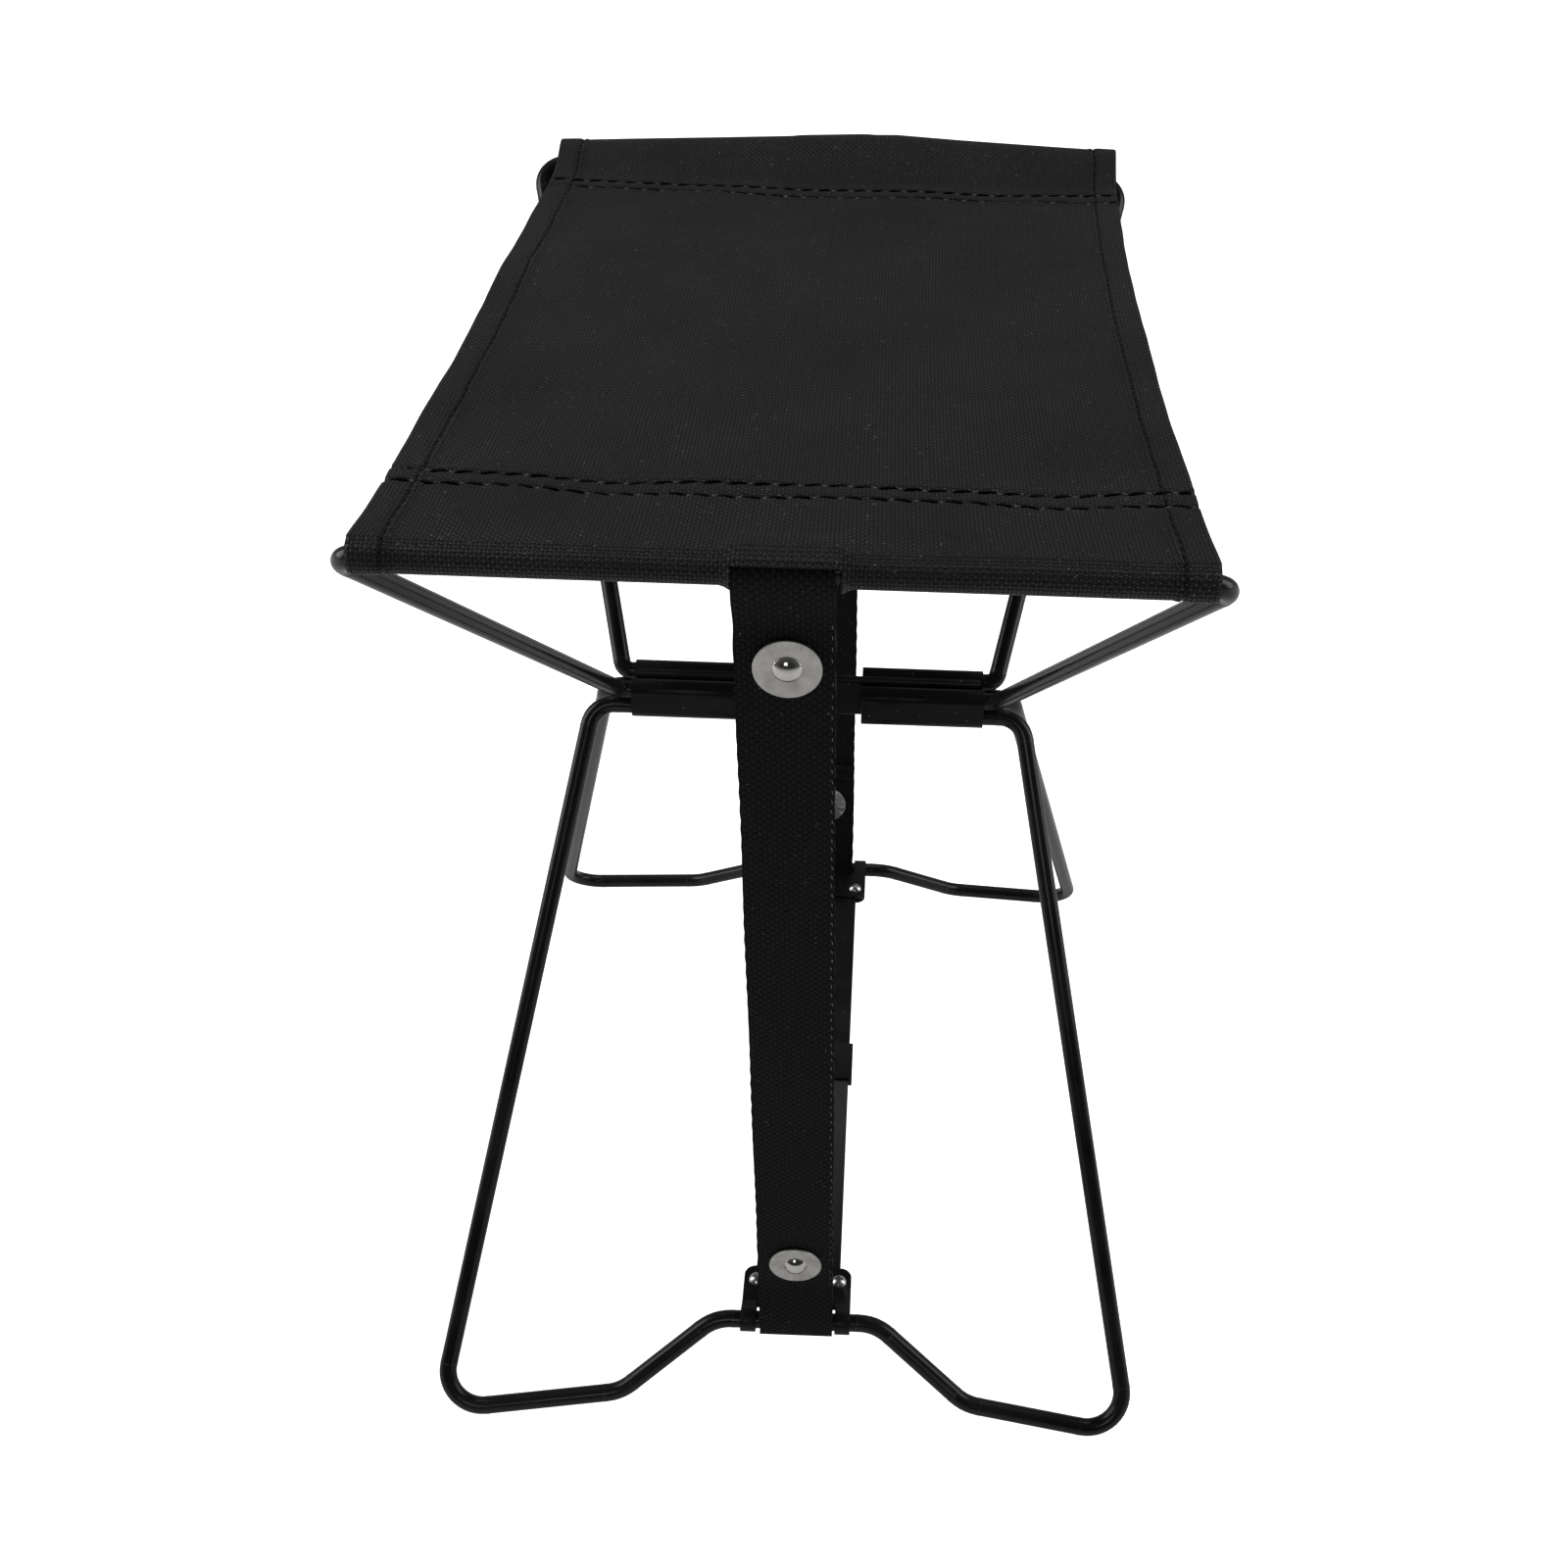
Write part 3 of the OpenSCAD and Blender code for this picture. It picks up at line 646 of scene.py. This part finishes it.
def strap_path(length):
    """(distance from the top bar, offset) along the webbing.

    It starts at the upper sewn end on the back, goes up over the top bar, down the front and round
    the foot bar, and ends at the lower sewn end on the back.
    """
    turn = [math.radians(a) for a in np.linspace(0, 180, 17)[1:-1]]
    front = [np.linspace(0.0, 40, 22), np.linspace(40, length - 48, 70)[1:]]
    path = [(s, -layer(s, UPPER_RIVET)) for s in np.linspace(UPPER_RIVET + BACK_END, 0.0, 26)]
    path += [(-LOOP_R * math.sin(a), -LOOP_R * math.cos(a)) for a in turn]
    path += [(s, layer(s, UPPER_RIVET)) for s in np.concatenate(front)]
    path += [(s, layer(length - s, LOWER_RIVET)) for s in np.linspace(length - 48, length, 28)[1:]]
    path += [(length + LOOP_R * math.sin(a), LOOP_R * math.cos(a)) for a in turn]
    path += [(length - q, -layer(q, LOWER_RIVET)) for q in np.linspace(0.0, LOWER_RIVET + BACK_END, 34)]
    return np.array(path)


def strap(side):
    """One length of webbing: round the top bar, down to the foot bar, round it, and sewn back on itself."""
    top = np.array([side * BAR_Y, BAR_Z])
    way = np.array([side * rest_y, NOTCH]) - top
    length = float(np.linalg.norm(way))
    way = way / length
    out = np.array([way[1], -way[0]]) if side < 0 else np.array([-way[1], way[0]])

    def free(s, offset):
        """1 in the free middle of the front layer, 0 where the rivets hold both layers together."""
        if offset <= 0:
            return 0.0
        return float(smoothstep(s, 46, 100) * smoothstep(length - s, 58, 110))

    def point(s, x, offset):
        """The place s from the top bar, x right of the strap's middle line and offset out from it."""
        t = np.clip(s / length, 0, 1)
        at = top + way * s + out * (offset - BOW * free(s, offset))
        return np.array([STRAP_TOP_X + (STRAP_BOTTOM_X - STRAP_TOP_X) * t + x, at[0], at[1]])

    path = strap_path(length)
    step = np.linalg.norm(np.diff(path, axis=0), axis=1)
    run = np.concatenate([[0], np.cumsum(step)])
    edge = np.array([0.0, 0.25, 0.7, 1.4, 2.4])
    half = STRAP_W / 2
    us = np.concatenate([-half + edge, np.linspace(-half + 3.6, half - 3.6, 13), (half - edge)[::-1]])
    pts = np.zeros((len(path), len(us), 3))
    uv = np.zeros((len(path), len(us), 2))
    for i, (s, offset) in enumerate(path):
        narrow = 1 + 0.012 * math.sin(math.pi * np.clip(s / length, 0, 1))
        wiggle = 0.12 * np.sin(run[i] / 2.2 * 2 * math.pi) + 0.10 * math.sin(run[i] / 13)
        scallop = np.where(np.abs(us) > half - 0.5, np.sign(us) * wiggle, 0.0)
        cup = CUP * free(s, offset) * (us / half) ** 2
        middle = point(s, 0.0, offset)
        pts[i, :, 0] = middle[0] + us * narrow + scallop
        pts[i, :, 1] = middle[1] - out[0] * cup
        pts[i, :, 2] = middle[2] - out[1] * cup
        uv[i, :, 0], uv[i, :, 1] = us, run[i]
    if side > 0:
        pts, uv = pts[:, ::-1], uv[:, ::-1]
    name = NAMES[side]
    obj = grid_mesh(f"{name}_strap_webbing", pts, uv, STRAP)
    thicken(obj, STRAP_T)

    up = np.array([0, out[0], out[1]])
    face = LAYER + STRAP_T / 2
    upper_end, lower_end = UPPER_RIVET + BACK_END, length - LOWER_RIVET - BACK_END
    runs, pale = [], []
    # stitches across the sewn ends, on the back
    for s in (upper_end - 3, UPPER_RIVET + 12, lower_end + 3, length - LOWER_RIVET - 12):
        for x in np.arange(-half + 2, half - 4, 3.4):
            runs.append((point(s, x, -face), point(s, x + 2.5, -face), -up))
    # painted glints: fine pale marks of thread down the right edge
    s = 14.0
    while s < length - 16:
        if abs(s - UPPER_RIVET) >= 3 and abs(s - length + LOWER_RIVET) >= 3:
            above = face + 0.02 + (LOOP_R - LAYER) * (1 - smoothstep(s, 0.5, 17))
            x = half - 0.75 + 0.1 * rng.normal()
            pale.append((point(s, x, above - 0.1), point(s + 1.5, x + 0.25, above - 0.14), up))
        s += 3.3 + 0.5 * rng.random()
    # two cut thread tails under the foot bar
    for x in (-half + 2.0, half - 3.5):
        a = point(length + LOOP_R + STRAP_T / 2 - 0.3, x, 0.5)
        b = a + np.array([0.5 * rng.normal(), 0.2, -1.4])
        runs.append((a, b, up))
    # painted glints: bright thread along the right edge of the lower sewn end
    for s in np.arange(lower_end + 2, length - 14, 6.0):
        pale.append((point(s, half - 0.3, -0.4), point(s + 2.2, half - 0.1, -0.5), (1, 0, 0)))
    dark = stitches(f"{name}_strap_stitches", runs, BLACK_THREAD, 0.22)
    # the pale marks are painted glints on the webbing's edge
    light = stitches(f"{name}_strap_edge_glints", pale, GLINT_THREAD, 0.11)
    for o in (obj, dark, light):
        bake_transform(o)
    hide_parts(f"{name}_strap_upper", f"{name}_strap_lower")


strap(-1)
strap(1)


# ---- Stage, light and camera ------------------------------------------------


FLOOR_HALF, FLOOR_Z = 30.0, -0.0008
FLOOR_WHITE = (0.92, 0.92, 0.92)
FLOOR_SEEN, FLOOR_GLOW = 1.3, 0.12  # how bright the camera sees it, and how much it lights the stool


def plain(name, colour):
    """A matt white sweep. It glows more towards the camera than it lights the stool."""
    s = Shader(name)
    tone = s.mix(s.noise(s.place(), 3, 2), tuple(c * 0.985 for c in colour), colour)
    s.link(tone, s.bsdf.inputs["Base Color"])
    s.link(tone, s.bsdf.inputs["Emission Color"])
    direct = s.node("ShaderNodeLightPath").outputs["Is Camera Ray"]
    s.link(s.span(direct, 0.0, 1.0, FLOOR_GLOW, FLOOR_SEEN), s.bsdf.inputs["Emission Strength"])
    s.set(Roughness=0.95)
    return s.mat


floor_mesh = bpy.data.meshes.new("floor")
corners = ((-1, -1), (1, -1), (1, 1), (-1, 1))
floor_mesh.from_pydata([(x * FLOOR_HALF, y * FLOOR_HALF, FLOOR_Z) for x, y in corners],
                       [], [(0, 1, 2, 3)])
floor_mesh.materials.append(plain("pale_floor", FLOOR_WHITE))
add("floor", floor_mesh)


def softbox(name, size, at, look, power):
    """A rectangular light of size metres at one place, turned to another; power in watts."""
    data = bpy.data.lights.new(name, "AREA")
    data.shape, data.size, data.size_y = "RECTANGLE", size[0], size[1]
    data.energy = power
    obj = add(name, data)
    obj.location = at
    obj.rotation_mode = "QUATERNION"
    obj.rotation_quaternion = (Vector(look) - Vector(at)).to_track_quat("-Z", "Y")


softbox("left_light", (0.9, 1.4), (-1.5, 0.15, 0.85), (0, 0, 0.2), 11)
softbox("right_light", (0.9, 1.4), (1.5, 0.15, 0.85), (0, 0, 0.2), 9)
softbox("top_light", (1.2, 0.9), (0.0, 0.75, 1.7), (0, 0, 0.25), 3.6)
softbox("front_light", (0.5, 0.5), (-0.25, -1.5, 1.1), (0, 0, 0.2), 1.5)

# the camera sees a white room; the stool reflects a dark one that is a little lighter at the back
BACK_GLOW = {"From Min": -0.75, "From Max": 0.15, "To Min": 0.03, "To Max": 0.16}
world = bpy.data.worlds.new("studio")
bpy.context.scene.world = world
world.use_nodes = True
wt = world.node_tree
background = wt.nodes["Background"]
coord = wt.nodes.new("ShaderNodeTexCoord")
split = wt.nodes.new("ShaderNodeSeparateXYZ")
wt.links.new(coord.outputs["Generated"], split.inputs[0])
ramp = wt.nodes.new("ShaderNodeMapRange")
for key, value in BACK_GLOW.items():
    ramp.inputs[key].default_value = value
wt.links.new(split.outputs[1], ramp.inputs["Value"])
seen = wt.nodes.new("ShaderNodeMix")
wt.links.new(wt.nodes.new("ShaderNodeLightPath").outputs["Is Camera Ray"], seen.inputs[0])
wt.links.new(ramp.outputs["Result"], seen.inputs[2])
seen.inputs[3].default_value = 1.0
wt.links.new(seen.outputs[0], background.inputs["Color"])
background.inputs["Strength"].default_value = 1.0

# yaw to the right, pitch down and roll, in degrees, then the camera's place
YAW, PITCH, ROLL = (math.radians(a) for a in (-0.49, 35.79, 1.72))
CAMERA_AT = (0.0220, -0.5284, 0.5512)
cam_data = bpy.data.cameras.new("camera")
cam_data.sensor_width = 36.0
cam_data.lens = 41.6
cam_data.shift_x = -0.046
cam_data.clip_start, cam_data.clip_end = 0.02, 100
camera = add("camera", cam_data)
forward = Vector((math.sin(YAW) * math.cos(PITCH), math.cos(YAW) * math.cos(PITCH), -math.sin(PITCH)))
level = Vector((math.cos(YAW), -math.sin(YAW), 0.0))
above = level.cross(forward)
right = level * math.cos(ROLL) + above * math.sin(ROLL)
upward = above * math.cos(ROLL) - level * math.sin(ROLL)
turn = Matrix((right, upward, -forward)).transposed()
camera.matrix_world = Matrix.Translation(CAMERA_AT) @ turn.to_4x4()
bpy.context.scene.camera = camera
bpy.context.scene.view_settings.view_transform = "Standard"
